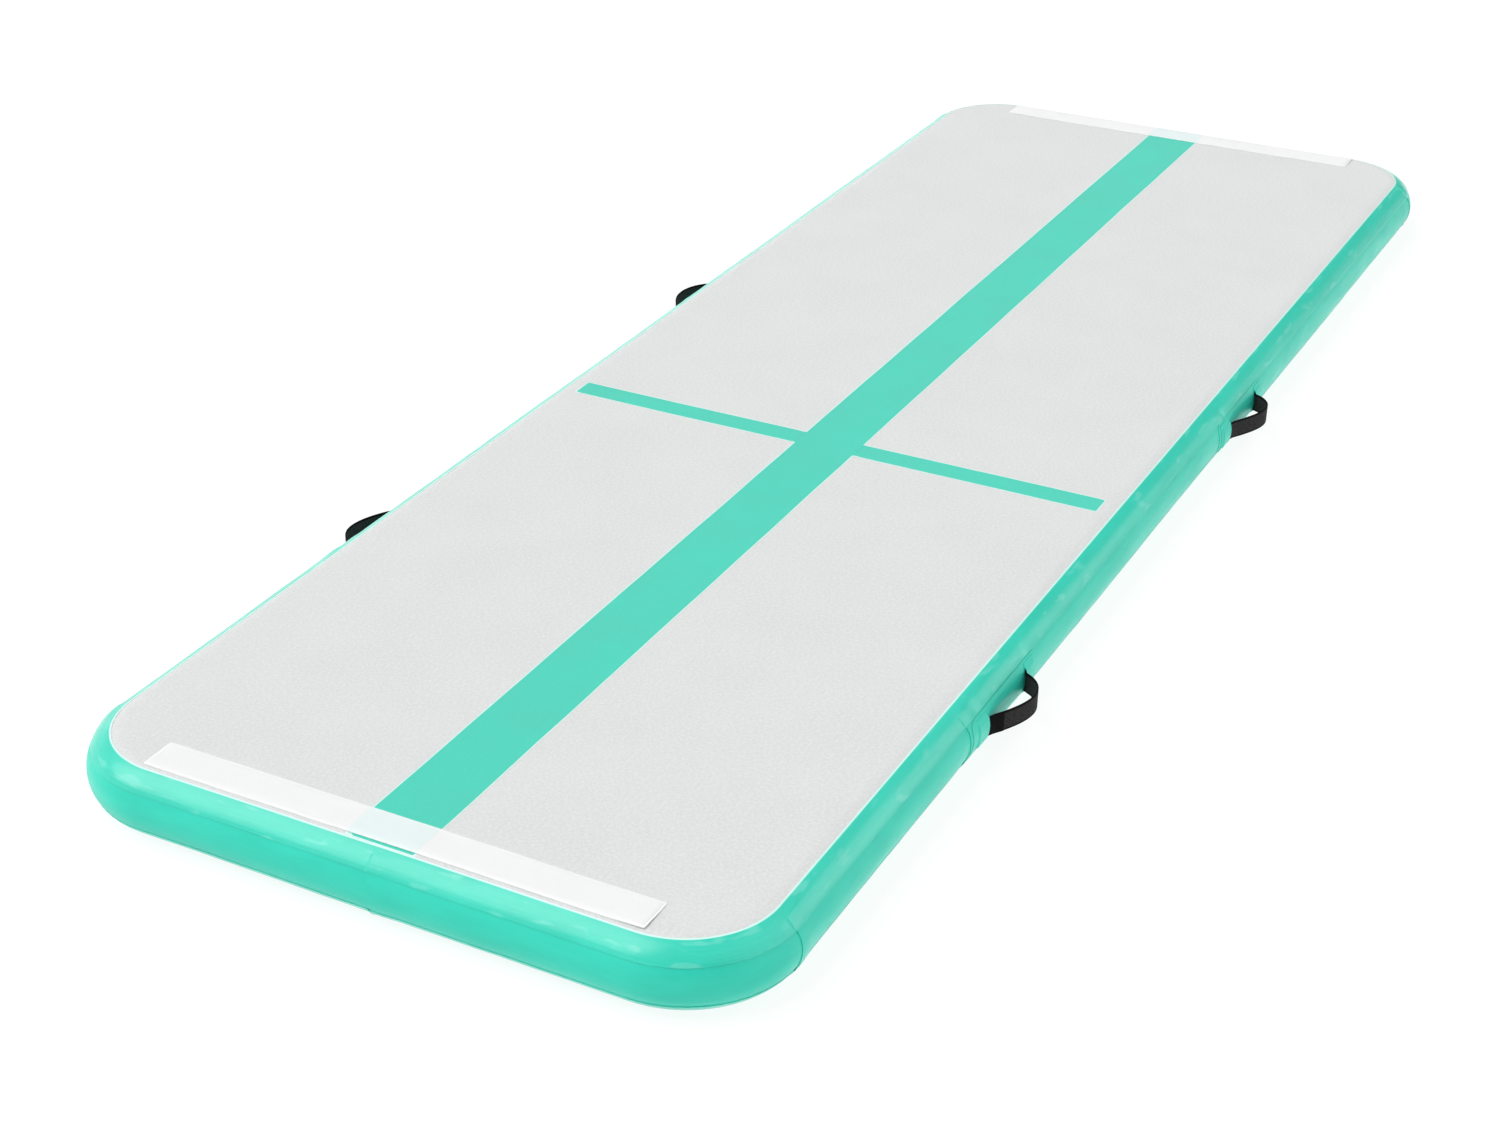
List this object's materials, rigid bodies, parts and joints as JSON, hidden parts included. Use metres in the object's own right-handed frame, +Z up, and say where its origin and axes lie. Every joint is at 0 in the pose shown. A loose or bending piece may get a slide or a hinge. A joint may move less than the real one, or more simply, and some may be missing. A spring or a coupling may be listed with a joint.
{
  "type": "air track mat",
  "caption": "Inflatable drop-stitch gymnastics mat: flat faces, bulging side wall, bonded stripes, hook strips, webbing carry handles and a screw-capped air valve.",
  "frame": {"origin": "middle of the underside, on the floor", "axes": "+X along the mat towards the valve end, +Y to the left side seen from the near end, +Z up"},
  "size_m": [3.0007, 1.07, 0.102],
  "materials": {
    "grey_top": "matte",
    "grey_bottom": "matte",
    "yarn": "matte",
    "liner": "matte",
    "mint_band": "satin",
    "mint_tape": "gloss",
    "mint_stripe": "matte",
    "hook_tape": "matte",
    "webbing": "matte",
    "valve_rubber": "matte",
    "spring_steel": "satin",
    "valve_white": "satin",
    "valve_grey": "satin",
    "leash": "satin"
  },
  "bodies": {
    "mat": {"top_skin": "grey_top", "bottom_skin": "grey_bottom", "drop_stitch_yarns": "yarn", "inner_side_wall": "liner", "near_band_left": "mint_band", "near_band_right": "mint_band", "far_band_left": "mint_band", "far_band_right": "mint_band", "side_band_left_near": "mint_band", "side_band_left_far": "mint_band", "side_band_right_near": "mint_band", "side_band_right_far": "mint_band", "top_edge_tape": "mint_tape", "bottom_edge_tape": "mint_tape", "centre_stripe": "mint_stripe", "cross_line_left": "mint_stripe", "cross_line_right": "mint_stripe", "near_hook_strip": "hook_tape", "far_hook_strip": "hook_tape", "left_near_handle_tails": "webbing", "left_near_handle_patch": "mint_band", "left_near_handle_flaps": "mint_band", "left_far_handle_tails": "webbing", "left_far_handle_patch": "mint_band", "left_far_handle_flaps": "mint_band", "right_near_handle_tails": "webbing", "right_near_handle_patch": "mint_band", "right_near_handle_flaps": "mint_band", "right_far_handle_tails": "webbing", "right_far_handle_patch": "mint_band", "right_far_handle_flaps": "mint_band", "valve_seat_patch": "mint_band", "valve_outer_gasket": "valve_rubber", "valve_body": "valve_grey", "valve_inner_gasket": "valve_rubber", "valve_back_nut": "valve_grey", "valve_spring": "spring_steel", "valve_leash_ring": "leash"},
    "left_near_handle": {"left_near_handle_loop": "webbing"},
    "left_far_handle": {"left_far_handle_loop": "webbing"},
    "right_near_handle": {"right_near_handle_loop": "webbing"},
    "right_far_handle": {"right_far_handle_loop": "webbing"},
    "valve_stem_set": {"valve_stem": "valve_white", "valve_seal_disc": "valve_rubber", "valve_stem_clip": "spring_steel"},
    "valve_button_turn": {"valve_button": "valve_white"},
    "valve_leash_lift": {"valve_leash": "leash"},
    "valve_cap_set": {"valve_cap": "valve_grey", "valve_cap_seal": "valve_rubber"}
  },
  "joints": [
    {"name": "left_near_handle_swing", "type": "hinge", "parent": "mat", "child": "left_near_handle", "pos_m": [-0.735, 0.515, 0.05], "axis": [1, 0, 0], "range_deg": [-60, 60]},
    {"name": "left_far_handle_swing", "type": "hinge", "parent": "mat", "child": "left_far_handle", "pos_m": [0.285, 0.515, 0.05], "axis": [1, 0, 0], "range_deg": [-60, 60]},
    {"name": "right_near_handle_swing", "type": "hinge", "parent": "mat", "child": "right_near_handle", "pos_m": [-0.735, -0.515, 0.05], "axis": [-1, 0, 0], "range_deg": [-60, 60]},
    {"name": "right_far_handle_swing", "type": "hinge", "parent": "mat", "child": "right_far_handle", "pos_m": [0.285, -0.515, 0.05], "axis": [-1, 0, 0], "range_deg": [-60, 60]},
    {"name": "valve_stem_press", "type": "slide", "parent": "mat", "child": "valve_stem_set", "axis": [-1, 0, 0], "range_m": [0, 0.005], "stiffness_N_per_m": 400, "springref_m": -0.004, "deforming": ["valve_spring"]},
    {"name": "valve_button_twist", "type": "hinge", "parent": "valve_stem_set", "child": "valve_button_turn", "pos_m": [1.4915, 0.25, 0.05], "axis": [1, 0, 0], "range_deg": [0, 90]},
    {"name": "valve_cap_turn", "type": "hinge", "parent": "valve_leash_lift", "child": "valve_cap_set", "pos_m": [1.4915, 0.25, 0.05], "axis": [1, 0, 0], "range_deg": [0, 450]},
    {"name": "valve_cap_lift", "type": "slide", "parent": "mat", "child": "valve_leash_lift", "axis": [1, 0, 0], "range_m": [0, 0.00375]}
  ],
  "couplings": [
    {"joint": "valve_cap_turn", "follows": "valve_cap_lift", "rad_per_m": 2094.4}
  ]
}
